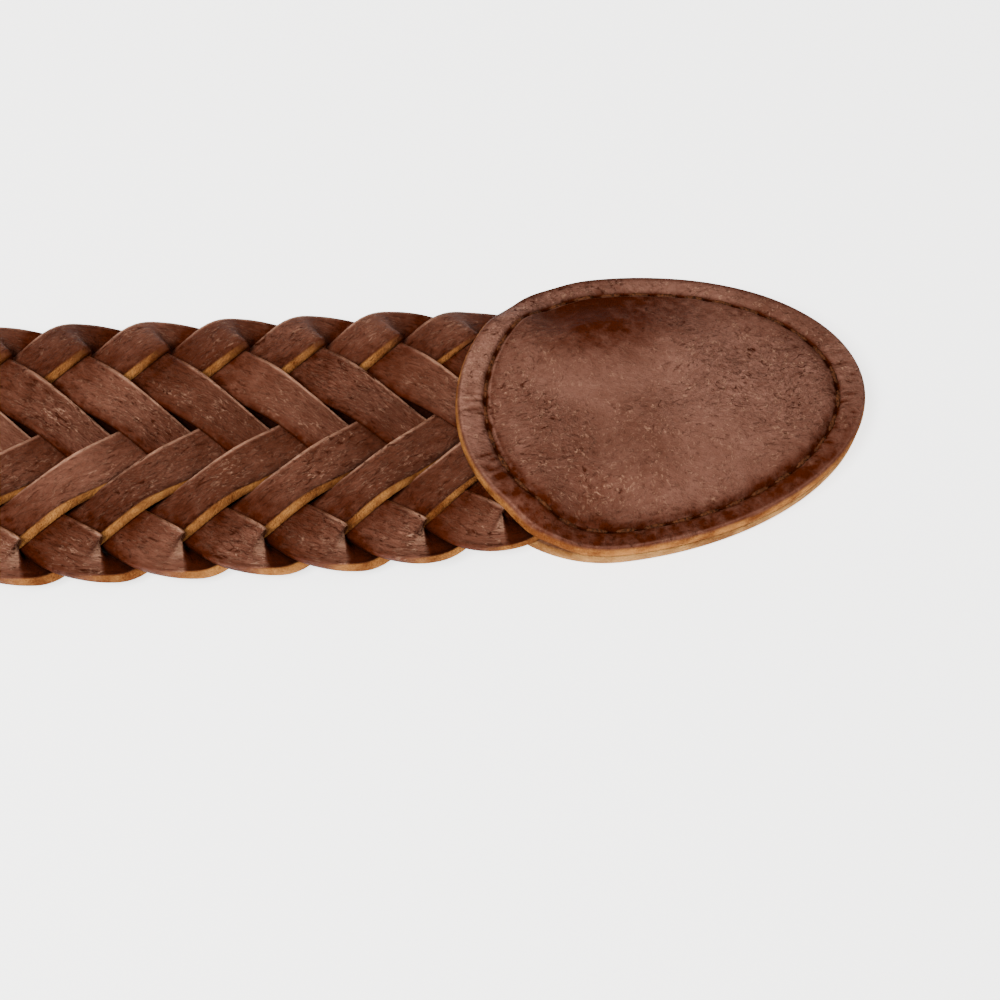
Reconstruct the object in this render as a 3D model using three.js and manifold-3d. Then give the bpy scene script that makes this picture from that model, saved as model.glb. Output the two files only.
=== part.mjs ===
// A braided leather belt, lying flat with its face up.
// Millimetres. X runs along the belt towards its tip, Y across it, Z up from what it lies on.
import * as THREE from 'three';
import Module from 'manifold-3d';
import { mergeVertices } from 'three/addons/utils/BufferGeometryUtils.js';

const wasm = await Module();
wasm.setup();

// Driving sizes of the whole belt
const overallLength = 940;
const fitGap = 0.3;

// Driving sizes of the braid
const edgePitch = 10.8;
const braidWidth = 39.6;
const edgeBulge = 1.25;
const edgeLean = 0.5;
const strandWidth = 5.95;
const spreadWidth = 6.85;
const spreadRows = 4;
const strandThickness = 1.4;
const strandClearance = 0.16;
const bendInset = 0.05;
const firstBendOffset = 4.6;
const narrowing = 0.065;
const narrowingRun = 18;
const straightWithin = 0.001;

// Driving sizes of the tip
const tipLength = 58.4;
const tipWidth = 43.6;
const tipBluntLength = 21.5;
const tipLeather = 2;
const tipGrip = 10.5;
const tipSqueeze = 0.5;
const seamMarginEnd = 4;
const seamMarginSide = 2.9;
const seamDepth = 0.7;
const domeHeight = 1.3;
const rimClosing = 6;
const domeClosing = 36;
const domeReach = 0.4;
const pressingStart = 4;
const pressingEnd = 5;

// How the belt lies: it bends sideways over a short run before its tip, by this slope
const swayRun = 20;
const swaySlope = 0.078;

// Driving sizes of the buckle tab
const tabLength = 42;
const tabWidth = 36;
const tabLeather = 2;
const tabGrip = 20;
const tabSqueeze = 0.66;
const tabSlotLength = 15;

// Driving sizes of the buckle
const buckleLength = 40;
const buckleOpening = 47;
const buckleBar = 4.5;
const buckleRodDiameter = 4;
const buckleCorner = 9;
const buckleBevel = 0.8;
const tongueWidth = 4;
const tongueThickness = 3;
const tongueHold = 0.1;
const tongueClearance = 0.6;
const squeezeRun = 10;

// Heights of a falling strand's far and near edges at each row of crossings, in layers above the
// braid's middle. A falling strand runs from the far edge (+Y) to the near edge as X grows. The
// strand that rises across it there takes the opposite heights.
const crossingRows = [
  { far: 0.5, near: -1.5 },
  { far: 1.5, near: -0.5 },
  { far: 0.5, near: 0.5 },
  { far: -0.5, near: 1.5 },
  { far: -1.5, near: 0.5 },
  { far: -0.5, near: -0.5 },
  { far: 0.5, near: -1.5 },
  { far: 1.5, near: -0.5 },
];
const outerEdgeLayer = 0.5;

// Rings of the tip's front leather from its rim to its crown. inset is a share of the seam's
// margin, reach of the way from there to the middle, rise of the dome, sink of the seam's depth.
const tipRings = [
  { name: 'rim', inset: 0, reach: 0, rise: -0.25, sink: 0, under: true },
  { name: 'rimTop', inset: 0.16, reach: 0, rise: 0, sink: 0, under: false },
  { name: 'seamOuter', inset: 0.84, reach: 0, rise: 0, sink: 0, under: true },
  { name: 'seamFloor', inset: 1, reach: 0, rise: 0, sink: 1, under: false },
  { name: 'seamInner', inset: 1.16, reach: 0.02, rise: 0.2, sink: 0, under: false },
  { name: 'shoulder', inset: 1.16, reach: 0.2, rise: 0.7, sink: 0, under: true },
  { name: 'crown', inset: 1.16, reach: 0.6, rise: 0.97, sink: 0, under: true },
];

// Facets of the round shapes
const ringPoints = 36;
const foldSteps = 12;
const cornerSteps = 6;
const rodSides = 12;

// Values worked out from the driving sizes
const strandCount = crossingRows.length + 1;
const rowStep = (braidWidth - 2 * edgeBulge) / strandCount;
const fallRun = (strandCount / 2 - edgeLean) * edgePitch;
const riseRun = (strandCount / 2 + edgeLean) * edgePitch;
const layer = strandThickness + strandClearance;
const braidHalfHeight = 1.5 * layer + strandThickness / 2;

const tipEnd = overallLength / 2;
const tipStart = tipEnd - tipLength;
const tipWidest = tipStart + tipBluntLength;
const buckleEnd = -overallLength / 2;
const rodX = buckleEnd + buckleLength - buckleRodDiameter / 2;
const foldInner = buckleRodDiameter / 2 + fitGap;
const foldOuter = foldInner + tabLeather;
const tabEnd = rodX + tabLength;

const braidEnd = tipStart + tipGrip;
const braidStart = tabEnd - tabGrip;
const tipBraidMiddle = tipLeather + fitGap + braidHalfHeight * tipSqueeze;
const tipBraidTop = tipBraidMiddle + braidHalfHeight * tipSqueeze;
const foldTop = tipLeather + fitGap + strandThickness * tipSqueeze;
const foldDrop = tipBraidMiddle + strandThickness * tipSqueeze / 2 - foldTop;

function smooth(from, to, x) {
  const t = Math.min(1, Math.max(0, (x - from) / (to - from)));
  return t * t * (3 - 2 * t);
}

// How far the braid is squeezed, and how high its middle lies, along the belt
function braidAt(x) {
  const inTip = smooth(tipStart - squeezeRun, tipStart + fitGap, x);
  const inTab = 1 - smooth(tabEnd - fitGap, tabEnd + squeezeRun, x);
  const squeeze = 1 - inTip * (1 - tipSqueeze) - inTab * (1 - tabSqueeze);
  const middle = braidHalfHeight
    + inTip * (tipBraidMiddle - braidHalfHeight)
    + inTab * (foldOuter - braidHalfHeight);
  return { squeeze, middle };
}

// Sideways shift of everything at x
function swayAt(x) {
  const t = Math.max(0, x - (tipStart - swayRun));
  return swaySlope * (t < swayRun ? t * t / (2 * swayRun) : t - swayRun / 2);
}

// Share of its full width that the braid keeps at x
function widthShareAt(x) {
  return 1 - narrowing * smooth(braidEnd - narrowingRun, braidEnd, x);
}

function rowY(row) {
  return (strandCount / 2 - row) * rowStep;
}

// Share of the way from the first row of crossings out to the braid's edge, at y from its middle
function edgeShareAt(y) {
  return Math.min(1, Math.max(0, (Math.abs(y) - rowY(1)) / (braidWidth / 2 - rowY(1))));
}

// How far the braid's outer folds are pressed down on the back leather inside the tip
function foldDropAt(x, y) {
  return foldDrop * smooth(tipStart - pressingStart, tipStart + pressingEnd, x) * edgeShareAt(y);
}

function solidFrom(points, faces) {
  const geometry = new THREE.BufferGeometry();
  geometry.setAttribute('position', new THREE.Float32BufferAttribute(points.flat(), 3));
  geometry.setIndex(faces.flat());
  return geometry;
}

// One cut across a strand: plan points of its far and near edges and their layer heights
function cutAcross(middle, halfStep, farLayer, nearLayer, share) {
  const mean = (farLayer + nearLayer) / 2;
  const half = share * (farLayer - nearLayer) / 2;
  return {
    x: middle.x,
    far: [middle.x + share * halfStep.x, middle.y + share * halfStep.y, mean + half],
    near: [middle.x - share * halfStep.x, middle.y - share * halfStep.y, mean - half],
  };
}

function farLayerAt(row) {
  return row < 1 ? -outerEdgeLayer : crossingRows[row - 1].far;
}

function nearLayerAt(row) {
  return row > crossingRows.length ? outerEdgeLayer : crossingRows[row - 1].near;
}

const fallStep = { x: fallRun / strandCount, y: -rowStep };
const riseStep = { x: riseRun / strandCount, y: rowStep };
const fallShare = Math.hypot(fallStep.x, fallStep.y) / (edgePitch * rowStep);
const riseShare = strandWidth * Math.hypot(riseStep.x, riseStep.y) / (edgePitch * rowStep);

// A falling strand spreads towards the braid's edges, and leaves gaps in the middle of the braid
function fallWidthAt(row) {
  const fromMiddle = Math.abs(row + 0.5 - strandCount / 2);
  return strandWidth + (spreadWidth - strandWidth) * Math.min(1, fromMiddle / spreadRows);
}

// A strand's way down from the far edge, starting at its bend at x
function fallingCuts(x) {
  const cuts = [];
  const across = { x: riseStep.x / 2, y: riseStep.y / 2 };
  for (let row = 0; row < strandCount; row += 1) {
    const middle = { x: x + fallStep.x * (row + 0.5), y: rowY(row + 0.5) };
    const share = fallShare * fallWidthAt(row);
    cuts.push(cutAcross(middle, across, farLayerAt(row), nearLayerAt(row + 1), share));
  }
  return cuts;
}

// A strand's way back up from the near edge, starting at its bend at x
function risingCuts(x) {
  const cuts = [];
  const across = { x: -fallStep.x / 2, y: -fallStep.y / 2 };
  for (let row = strandCount - 1; row >= 0; row -= 1) {
    const middle = { x: x + riseStep.x * (strandCount - row - 0.5), y: rowY(row + 0.5) };
    cuts.push(cutAcross(middle, across, -farLayerAt(row), -nearLayerAt(row + 1), riseShare));
  }
  return cuts;
}

// The cut at the crest of a bend, between the last cut of one way and the first of the next
function bendCut(x, side) {
  const pivotX = x + side * (fallStep.x - riseStep.x) / 2;
  const inner = [pivotX, side * (rowY(1) + bendInset), 0];
  const outer = [pivotX, side * braidWidth / 2, 0];
  return { x: pivotX, far: side > 0 ? outer : inner, near: side > 0 ? inner : outer };
}

function blendCuts(a, b, share) {
  const mix = (p, q) => p.map((value, i) => value + (q[i] - value) * share);
  return { x: a.x + (b.x - a.x) * share, far: mix(a.far, b.far), near: mix(a.near, b.near) };
}

// Cuts of one whole strand, from the tab to the tip
function strandCuts(index) {
  const cycle = strandCount * edgePitch;
  const firstBend = tipStart + firstBendOffset + index * edgePitch;
  const cyclesBack = Math.ceil((firstBend - braidStart) / cycle) + 1;
  const all = [];
  for (let n = -cyclesBack; n <= 1; n += 1) {
    const farBend = firstBend + n * cycle;
    const nearBend = farBend + fallRun;
    all.push(bendCut(farBend, 1), ...fallingCuts(farBend));
    all.push(bendCut(nearBend, -1), ...risingCuts(nearBend));
  }
  const first = all.findIndex((cut) => cut.x > braidStart);
  const last = all.findIndex((cut) => cut.x >= braidEnd);
  const start = all[first - 1];
  const end = all[last];
  const kept = all.slice(first, last);
  kept.unshift(blendCuts(start, all[first], (braidStart - start.x) / (all[first].x - start.x)));
  kept.push(blendCuts(all[last - 1], end, (braidEnd - all[last - 1].x) / (end.x - all[last - 1].x)));
  return kept;
}

// The four corners of a cut where they lie in the belt, from its far top one round to its far bottom
function cornersOf(cut) {
  const [far, near] = [cut.far, cut.near].map(([x, y, height]) => {
    const { squeeze, middle } = braidAt(x);
    const z = middle + height * layer * squeeze - foldDropAt(x, y);
    const half = strandThickness * squeeze / 2;
    const placedY = y * widthShareAt(x) + swayAt(x);
    return {
      top: new THREE.Vector3(x, placedY, z + half),
      bottom: new THREE.Vector3(x, placedY, z - half),
    };
  });
  return [far.top, near.top, near.bottom, far.bottom];
}

// A cut whose corners all lie straight between its neighbours' corners adds nothing
function isNeeded(cut, i, cuts) {
  if (i === 0 || i === cuts.length - 1) return true;
  return cut.some((corner, k) => {
    const run = new THREE.Line3(cuts[i - 1][k], cuts[i + 1][k]);
    const nearest = run.closestPointToPoint(corner, true, new THREE.Vector3());
    return nearest.distanceTo(corner) > straightWithin;
  });
}

function strandGeometry(index) {
  const cuts = strandCuts(index).map(cornersOf).filter(isNeeded);
  const points = cuts.flat().map((corner) => corner.toArray());
  const faces = [];
  for (let i = 0; i + 1 < cuts.length; i += 1) {
    const rising = cuts[i + 1][0].y > cuts[i][0].y;
    for (let k = 0; k < 4; k += 1) {
      const a = 4 * i + k;
      const b = 4 * i + (k + 1) % 4;
      const flip = rising === (k === 0);
      faces.push(...(flip ? [[a, b, a + 4], [b, b + 4, a + 4]] : [[a, b, b + 4], [a, b + 4, a + 4]]));
    }
  }
  const end = 4 * (cuts.length - 1);
  faces.push([0, 3, 2], [0, 2, 1], [end, end + 1, end + 2], [end, end + 2, end + 3]);
  return solidFrom(points, faces);
}

// A point of the tip's outline: two half ellipses that meet where the tip is widest
function tipPoint(turn, insetEnd, insetSide, reach) {
  const along = Math.cos(turn) < 0 ? tipBluntLength : tipLength - tipBluntLength;
  return [
    tipWidest + (along - insetEnd) * (1 - reach) * Math.cos(turn),
    (tipWidth / 2 - insetSide) * (1 - reach) * Math.sin(turn),
  ];
}

function tipRing(inset, reach, heightAt) {
  const ring = [];
  for (let i = 0; i < ringPoints; i += 1) {
    const turn = 2 * Math.PI * i / ringPoints;
    const [x, y] = tipPoint(turn, inset * seamMarginEnd, inset * seamMarginSide, reach);
    ring.push([x, y + swayAt(x), heightAt(x, y)]);
  }
  return ring;
}

// A closed body through rings that run from a bottom middle point out, up and in to a top one
function solidThroughRings(bottomMiddle, rings, topMiddle) {
  const points = [bottomMiddle, ...rings.flat(), topMiddle];
  const top = points.length - 1;
  const faces = [];
  for (let i = 0; i < ringPoints; i += 1) {
    const next = (i + 1) % ringPoints;
    faces.push([0, 1 + next, 1 + i]);
    for (let r = 0; r + 1 < rings.length; r += 1) {
      const lower = 1 + r * ringPoints;
      const upper = lower + ringPoints;
      faces.push([lower + i, lower + next, upper + next], [lower + i, upper + next, upper + i]);
    }
    faces.push([top - ringPoints + i, top - ringPoints + next, top]);
  }
  return solidFrom(points, faces);
}

// Underside of the front leather: over the braid at the blunt end, and closed on the back beyond it.
// It comes down towards the braid's edges, and its rim closes sooner than the dome inside it does.
function frontUnderside(x, y, reach) {
  const closed = tipLeather + fitGap;
  const edgeShare = smooth(0, 1, edgeShareAt(y / widthShareAt(x)));
  const open = tipBraidTop + fitGap - (tipBraidTop - foldTop) * edgeShare;
  const rim = smooth(braidEnd, braidEnd + rimClosing, x);
  const dome = smooth(braidEnd, braidEnd + domeClosing, x);
  return open + (closed - open) * (rim + (dome - rim) * smooth(0, domeReach, reach));
}

function tipFrontGeometry() {
  const below = tipRings.filter((ring) => ring.under).reverse().map((ring) => (
    tipRing(ring.inset, ring.reach, (x, y) => (
      frontUnderside(x, y, ring.reach) + Math.max(0, ring.rise) * domeHeight
    ))
  ));
  const above = tipRings.map((ring) => tipRing(ring.inset, ring.reach, (x, y) => (
    frontUnderside(x, y, ring.reach) + tipLeather + ring.rise * domeHeight - ring.sink * seamDepth
  )));
  const middle = frontUnderside(tipWidest, 0, 1) + domeHeight;
  return solidThroughRings(
    [tipWidest, swayAt(tipWidest), middle],
    [...below, ...above],
    [tipWidest, swayAt(tipWidest), middle + tipLeather],
  );
}

function tipBackGeometry() {
  const rings = [tipRing(0, 0, () => 0), tipRing(0, 0, () => tipLeather)];
  const y = swayAt(tipWidest);
  return solidThroughRings([tipWidest, y, 0], rings, [tipWidest, y, tipLeather]);
}

// three.js geometry to a manifold-3d solid and back
function toSolid(geometry) {
  const bare = geometry.clone();
  bare.deleteAttribute('normal');
  bare.deleteAttribute('uv');
  const merged = mergeVertices(bare);
  return new wasm.Manifold(new wasm.Mesh({
    numProp: 3,
    vertProperties: new Float32Array(merged.attributes.position.array),
    triVerts: new Uint32Array(merged.index.array),
  }));
}

function fromSolid(solid) {
  const mesh = solid.getMesh();
  const geometry = new THREE.BufferGeometry();
  geometry.setAttribute('position', new THREE.BufferAttribute(new Float32Array(mesh.vertProperties), 3));
  geometry.setIndex(new THREE.BufferAttribute(new Uint32Array(mesh.triVerts), 1));
  return geometry;
}

// A profile drawn in X and Z, given a width along Y and centred on the belt's middle line
function acrossBelt(profile, width, arcSteps) {
  const geometry = new THREE.ExtrudeGeometry(profile, {
    depth: width,
    bevelEnabled: false,
    curveSegments: arcSteps,
  });
  geometry.rotateX(Math.PI / 2);
  geometry.translate(0, width / 2, 0);
  return geometry;
}

function box(from, to) {
  const size = to.map((value, i) => value - from[i]);
  const geometry = new THREE.BoxGeometry(...size);
  geometry.translate(...from.map((value, i) => value + size[i] / 2));
  return geometry;
}

// The leather folded round the buckle's rod, with a slot for the tongue
function buckleTabGeometry() {
  const profile = new THREE.Shape();
  profile.moveTo(tabEnd, 0);
  profile.lineTo(tabEnd, tabLeather);
  profile.lineTo(rodX, tabLeather);
  profile.absarc(rodX, foldOuter, foldInner, -Math.PI / 2, Math.PI / 2, true);
  profile.lineTo(tabEnd, foldOuter + foldInner);
  profile.lineTo(tabEnd, 2 * foldOuter);
  profile.lineTo(rodX, 2 * foldOuter);
  profile.absarc(rodX, foldOuter, foldOuter, Math.PI / 2, -Math.PI / 2, false);
  const slotHalf = tongueWidth / 2 + tongueClearance;
  const slotEnd = rodX + tabSlotLength / 2 - Math.PI * (foldInner + foldOuter) / 4;
  const slot = box(
    [rodX - 2 * foldOuter, -slotHalf, -tabLeather],
    [slotEnd, slotHalf, 2 * foldOuter + tabLeather],
  );
  return fromSolid(toSolid(acrossBelt(profile, tabWidth, foldSteps)).subtract(toSolid(slot)));
}

function roundedRectangle(path, x0, x1, halfWidth, corner) {
  path.moveTo(x0 + corner, -halfWidth);
  path.lineTo(x1 - corner, -halfWidth);
  path.absarc(x1 - corner, corner - halfWidth, corner, -Math.PI / 2, 0, false);
  path.lineTo(x1, halfWidth - corner);
  path.absarc(x1 - corner, halfWidth - corner, corner, 0, Math.PI / 2, false);
  path.lineTo(x0 + corner, halfWidth);
  path.absarc(x0 + corner, halfWidth - corner, corner, Math.PI / 2, Math.PI, false);
  path.lineTo(x0, corner - halfWidth);
  path.absarc(x0 + corner, corner - halfWidth, corner, Math.PI, 1.5 * Math.PI, false);
  return path;
}

// Frame, rod and tongue in one
function buckleGeometry() {
  const openingHalf = buckleOpening / 2;
  const outerHalf = openingHalf + buckleBar;
  const frameEnd = rodX + buckleRodDiameter / 2;
  const outline = roundedRectangle(
    new THREE.Shape(),
    buckleEnd + buckleBevel,
    frameEnd - buckleBevel,
    outerHalf - buckleBevel,
    buckleCorner - buckleBevel,
  );
  outline.holes.push(roundedRectangle(
    new THREE.Path(),
    buckleEnd + buckleBar - buckleBevel,
    rodX - buckleRodDiameter / 2,
    openingHalf + buckleBevel,
    buckleCorner - buckleBar + buckleBevel,
  ));
  const frame = new THREE.ExtrudeGeometry(outline, {
    depth: buckleRodDiameter - 2 * buckleBevel,
    bevelThickness: buckleBevel,
    bevelSize: buckleBevel,
    bevelSegments: 1,
    curveSegments: cornerSteps,
  });
  frame.translate(0, 0, foldOuter - buckleRodDiameter / 2 + buckleBevel);
  const rodRoom = box(
    [rodX - buckleRodDiameter, -openingHalf, 0],
    [frameEnd + buckleRodDiameter, openingHalf, 2 * foldOuter],
  );
  const rod = new THREE.CylinderGeometry(
    buckleRodDiameter / 2, buckleRodDiameter / 2, buckleOpening + buckleBar, rodSides,
  );
  rod.translate(rodX, 0, foldOuter);
  const tongue = new THREE.Shape();
  const frameTop = foldOuter + buckleRodDiameter / 2;
  tongue.moveTo(rodX + buckleRodDiameter / 4, foldOuter - tongueThickness / 2);
  tongue.lineTo(rodX + buckleRodDiameter / 4, foldOuter + tongueThickness / 2);
  tongue.lineTo(buckleEnd + 2 * buckleBar, frameTop + tongueThickness - tongueHold);
  tongue.lineTo(buckleEnd + tongueThickness / 3, frameTop + tongueThickness - tongueHold);
  tongue.lineTo(buckleEnd, frameTop + tongueThickness / 3);
  tongue.lineTo(buckleEnd, frameTop - tongueHold);
  tongue.lineTo(buckleEnd + buckleBar, frameTop - tongueHold);
  const solid = toSolid(frame)
    .subtract(toSolid(rodRoom))
    .add(toSolid(rod))
    .add(toSolid(acrossBelt(tongue, tongueWidth, 1)));
  return fromSolid(solid);
}

// Materials
const grainLeather = new THREE.MeshStandardMaterial({ color: 0x6f4431, roughness: 0.6, metalness: 0 });
const backLeather = new THREE.MeshStandardMaterial({ color: 0x7a5238, roughness: 0.8, metalness: 0 });
const metal = new THREE.MeshStandardMaterial({ color: 0xa98f5c, roughness: 0.35, metalness: 1 });

function piece(name, geometry, material) {
  geometry.computeVertexNormals();
  const mesh = new THREE.Mesh(geometry, material);
  mesh.name = name;
  return mesh;
}

const belt = new THREE.Group();
for (let index = 0; index < strandCount; index += 1) {
  belt.add(piece(`strand_${index + 1}`, strandGeometry(index), grainLeather.clone()));
}
belt.add(piece('tip_front', tipFrontGeometry(), grainLeather.clone()));
belt.add(piece('tip_back', tipBackGeometry(), backLeather));
belt.add(piece('buckle_tab', buckleTabGeometry(), grainLeather.clone()));
belt.add(piece('buckle', buckleGeometry(), metal));

export default belt;
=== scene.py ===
import math

import bmesh
import bpy
from mathutils import Matrix, Quaternion, Vector, noise


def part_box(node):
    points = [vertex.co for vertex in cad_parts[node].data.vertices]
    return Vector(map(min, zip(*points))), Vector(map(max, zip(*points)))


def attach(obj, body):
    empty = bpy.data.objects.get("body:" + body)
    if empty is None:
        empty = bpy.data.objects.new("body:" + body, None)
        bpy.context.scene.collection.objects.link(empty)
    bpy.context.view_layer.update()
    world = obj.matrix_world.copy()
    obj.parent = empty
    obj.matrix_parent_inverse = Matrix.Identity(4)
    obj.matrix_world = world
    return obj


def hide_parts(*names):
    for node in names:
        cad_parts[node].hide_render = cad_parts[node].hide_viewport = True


noiseSeed = 7
noise.seed_set(noiseSeed)

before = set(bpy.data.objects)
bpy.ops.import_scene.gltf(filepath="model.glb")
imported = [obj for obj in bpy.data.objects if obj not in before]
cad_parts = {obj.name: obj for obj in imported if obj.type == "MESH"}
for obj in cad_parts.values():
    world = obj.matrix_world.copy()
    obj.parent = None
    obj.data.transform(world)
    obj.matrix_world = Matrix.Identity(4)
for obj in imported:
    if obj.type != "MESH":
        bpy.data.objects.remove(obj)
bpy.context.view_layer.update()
print("frame loaded")

tipLow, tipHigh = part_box("tip_front")
tabLow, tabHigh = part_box("buckle_tab")
buckleLow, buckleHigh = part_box("buckle")


# Camera

cameraView = {
    "target": Vector((0.41669, -0.01094, 0.004)),
    "azimuth": -13.47,
    "elevation": 60.75,
    "roll": 9.41,
    "distance": 0.3618,
    "lens": 95.8,
}


def placeCamera():
    azimuth, elevation = math.radians(cameraView["azimuth"]), math.radians(cameraView["elevation"])
    back = Vector((
        math.sin(azimuth) * math.cos(elevation),
        -math.cos(azimuth) * math.cos(elevation),
        math.sin(elevation),
    ))
    camera = bpy.data.objects.new("photoCamera", bpy.data.cameras.new("photoCamera"))
    camera.data.lens = cameraView["lens"]
    camera.data.sensor_width = 36
    camera.data.clip_start = 0.01
    camera.location = cameraView["target"] + back * cameraView["distance"]
    camera.rotation_mode = "QUATERNION"
    turn = Quaternion((0, 0, 1), math.radians(cameraView["roll"]))
    camera.rotation_quaternion = back.to_track_quat("Z", "Y") @ turn
    bpy.context.scene.collection.objects.link(camera)
    bpy.context.scene.camera = camera


# Node helpers

def plug(tree, value, socket):
    if isinstance(value, bpy.types.NodeSocket):
        tree.links.new(value, socket)
    else:
        socket.default_value = value


def addNode(tree, kind, settings=None, **inputs):
    node = tree.nodes.new(kind)
    for name, value in (settings or {}).items():
        setattr(node, name, value)
    for name, value in inputs.items():
        plug(tree, value, node.inputs[name.replace("_", " ")])
    return node


def mathNode(tree, operation, *values, clamp=False):
    node = tree.nodes.new("ShaderNodeMath")
    node.operation = operation
    node.use_clamp = clamp
    for value, socket in zip(values, node.inputs):
        plug(tree, value, socket)
    return node.outputs[0]


def mixColor(tree, share, first, second):
    node = tree.nodes.new("ShaderNodeMix")
    node.data_type = "RGBA"
    plug(tree, share, node.inputs[0])
    plug(tree, first, node.inputs[6])
    plug(tree, second, node.inputs[7])
    return node.outputs[2]


def stretchCoords(tree, vector, scale):
    node = addNode(tree, "ShaderNodeMapping", Vector=vector, Scale=scale)
    return node.outputs[0]


def noiseValue(tree, vector, scale, detail=4.0, rough=0.55, low=0.3, high=0.7, wave=0.0):
    texture = addNode(
        tree, "ShaderNodeTexNoise",
        Vector=vector, Scale=scale, Detail=detail, Roughness=rough, Distortion=wave,
    )
    spread = addNode(
        tree, "ShaderNodeMapRange",
        Value=texture.outputs["Fac"], From_Min=low, From_Max=high,
    )
    return spread.outputs[0]


def makeGroup(name, inputs, outputs):
    group = bpy.data.node_groups.new(name, "ShaderNodeTree")
    for label, (kind, default) in inputs.items():
        socket = group.interface.new_socket(label, in_out="INPUT", socket_type="NodeSocket" + kind)
        socket.default_value = default
    for label, kind in outputs.items():
        group.interface.new_socket(label, in_out="OUTPUT", socket_type="NodeSocket" + kind)
    return group, group.nodes.new("NodeGroupInput").outputs, group.nodes.new("NodeGroupOutput").inputs


def rgb(red, green, blue):
    # 0 to 255 as seen on a screen, to the shader's linear colour
    return tuple((v / 255 / 12.92) if v < 11 else ((v / 255 + 0.055) / 1.055) ** 2.4
                 for v in (red, green, blue)) + (1.0,)


# Shared finishes

leatherLook = {
    "strandFace": rgb(87, 50, 35),
    "strandLight": rgb(132, 87, 69),
    "strandDeep": rgb(62, 20, 3),
    "tipFace": rgb(88, 53, 40),
    "tipLight": rgb(134, 93, 78),
    "fleckAndHighlight": rgb(194, 144, 116),
    "black": rgb(10, 3, 1),
    "backFace": rgb(104, 66, 44),
    "backLight": rgb(128, 86, 60),
    "threadDeep": rgb(30, 11, 4),
    "threadLight": rgb(88, 50, 29),
    "edgePale": rgb(184, 124, 66),
    "edgeStained": rgb(106, 58, 26),
    "creamPale": rgb(190, 140, 84),
    "creamStained": rgb(122, 78, 40),
    "specular": 0.04,
    "tipSpecular": 0.01,
    "grainDepth": 0.00026,
}

# Textures of the grain: stretch along, across and up, scale, detail, roughness, low, high, waviness
grainTextures = {
    "hairs": ((0.8, 3.0, 1.0), 7.0, 6.0, 0.7, 0.34, 0.66, 1.3),
    "flecks": ((0.6, 1.3, 1.0), 15.0, 5.0, 0.68, 0.54, 0.68, 1.2),
    "pits": ((0.5, 1.5, 1.3), 9.0, 6.0, 0.7, 0.44, 0.3, 1.6),
    "crowds": ((0.8, 1.0, 1.0), 2.1, 2.0, 0.5, 0.36, 0.62),
}


def grainTexture(tree, along, name):
    stretch, *settings = grainTextures[name]
    return noiseValue(tree, stretchCoords(tree, along, stretch), *settings)


def waxedGrainGroup():
    # Mottled wax over brown leather, with light flecks, small pits and hairline creases.
    # Painted shade, with some burnished wear, darkens it from 0 to 1, and turns it to a nearly black
    # painted shadow from 1 to 2. Grain is how coarse it looks.
    group, given, result = makeGroup("waxedGrain", {
        "Place": ("Vector", (0, 0, 0)),
        "Along": ("Vector", (0, 0, 0)),
        "Tone": ("Float", 0.5),
        "Face": ("Color", leatherLook["strandFace"]),
        "Light": ("Color", leatherLook["strandLight"]),
        "Deep": ("Color", leatherLook["strandDeep"]),
        "Worn": ("Float", 0.0),
        "Grain": ("Float", 1.0),
    }, {"Color": "Color", "Roughness": "Float", "Height": "Float"})
    along, shadeAndWear, grain = given["Along"], given["Worn"], given["Grain"]
    clouds = noiseValue(group, given["Place"], 110.0, 3.0, 0.5, 0.32, 0.68)
    mottle = noiseValue(group, given["Place"], 620.0, 5.0, 0.62, 0.3, 0.72)
    hairs = grainTexture(group, along, "hairs")
    flecks = grainTexture(group, along, "flecks")
    pits = grainTexture(group, along, "pits")
    crowds = grainTexture(group, along, "crowds")
    tone = mathNode(group, "MULTIPLY_ADD", clouds, 0.3, given["Tone"])
    tone = mathNode(group, "SUBTRACT", tone, 0.3)
    # Mottle and tone mix Face towards Light; the tone is partly random and partly painted light
    lit = mathNode(group, "MULTIPLY_ADD", mottle, 0.3, tone, clamp=True)
    color = mixColor(group, lit, given["Face"], given["Light"])
    # Tone over 1 is a painted highlight, mixed towards the pale fleck colour
    glint = mathNode(group, "SUBTRACT", given["Tone"], 1.0, clamp=True)
    color = mixColor(group, glint, color, leatherLook["fleckAndHighlight"])
    crowded = mathNode(group, "MULTIPLY_ADD", crowds, 0.65, 0.34)
    clean = mathNode(group, "MULTIPLY_ADD", shadeAndWear, -0.5, crowded, clamp=True)
    glints = mathNode(group, "MULTIPLY", flecks, mathNode(group, "MULTIPLY", clean, grain))
    color = mixColor(group, glints, color, leatherLook["fleckAndHighlight"])
    lines = mathNode(group, "MULTIPLY_ADD", hairs, -0.5, 0.5)
    cracks = mathNode(group, "MULTIPLY", pits, crowded)
    shade = mathNode(group, "MULTIPLY", mathNode(group, "ADD", cracks, lines), grain, clamp=True)
    color = mixColor(group, shade, color, given["Deep"])
    # Painted shade, with some wear, mixed towards Deep with ragged edges; past 1 it goes to a painted
    # black shadow
    ragged = mathNode(group, "MULTIPLY_ADD", mottle, -0.7, 1.35)
    stained = mathNode(group, "MULTIPLY", shadeAndWear, ragged, clamp=True)
    color = mixColor(group, stained, color, given["Deep"])
    sunk = mathNode(group, "SUBTRACT", shadeAndWear, 1.0, clamp=True)
    plug(group, mixColor(group, sunk, color, leatherLook["black"]), result["Color"])
    rough = mathNode(group, "MULTIPLY_ADD", mottle, 0.16, 0.46)
    plug(group, mathNode(group, "MULTIPLY_ADD", stained, -0.05, rough), result["Roughness"])
    height = mathNode(group, "MULTIPLY_ADD", hairs, 0.45, mathNode(group, "MULTIPLY", mottle, 0.4))
    height = mathNode(group, "MULTIPLY_ADD", flecks, 0.35, height)
    height = mathNode(group, "MULTIPLY_ADD", pits, -0.55, height)
    plug(group, mathNode(group, "MULTIPLY", height, grain), result["Height"])
    return group


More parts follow.
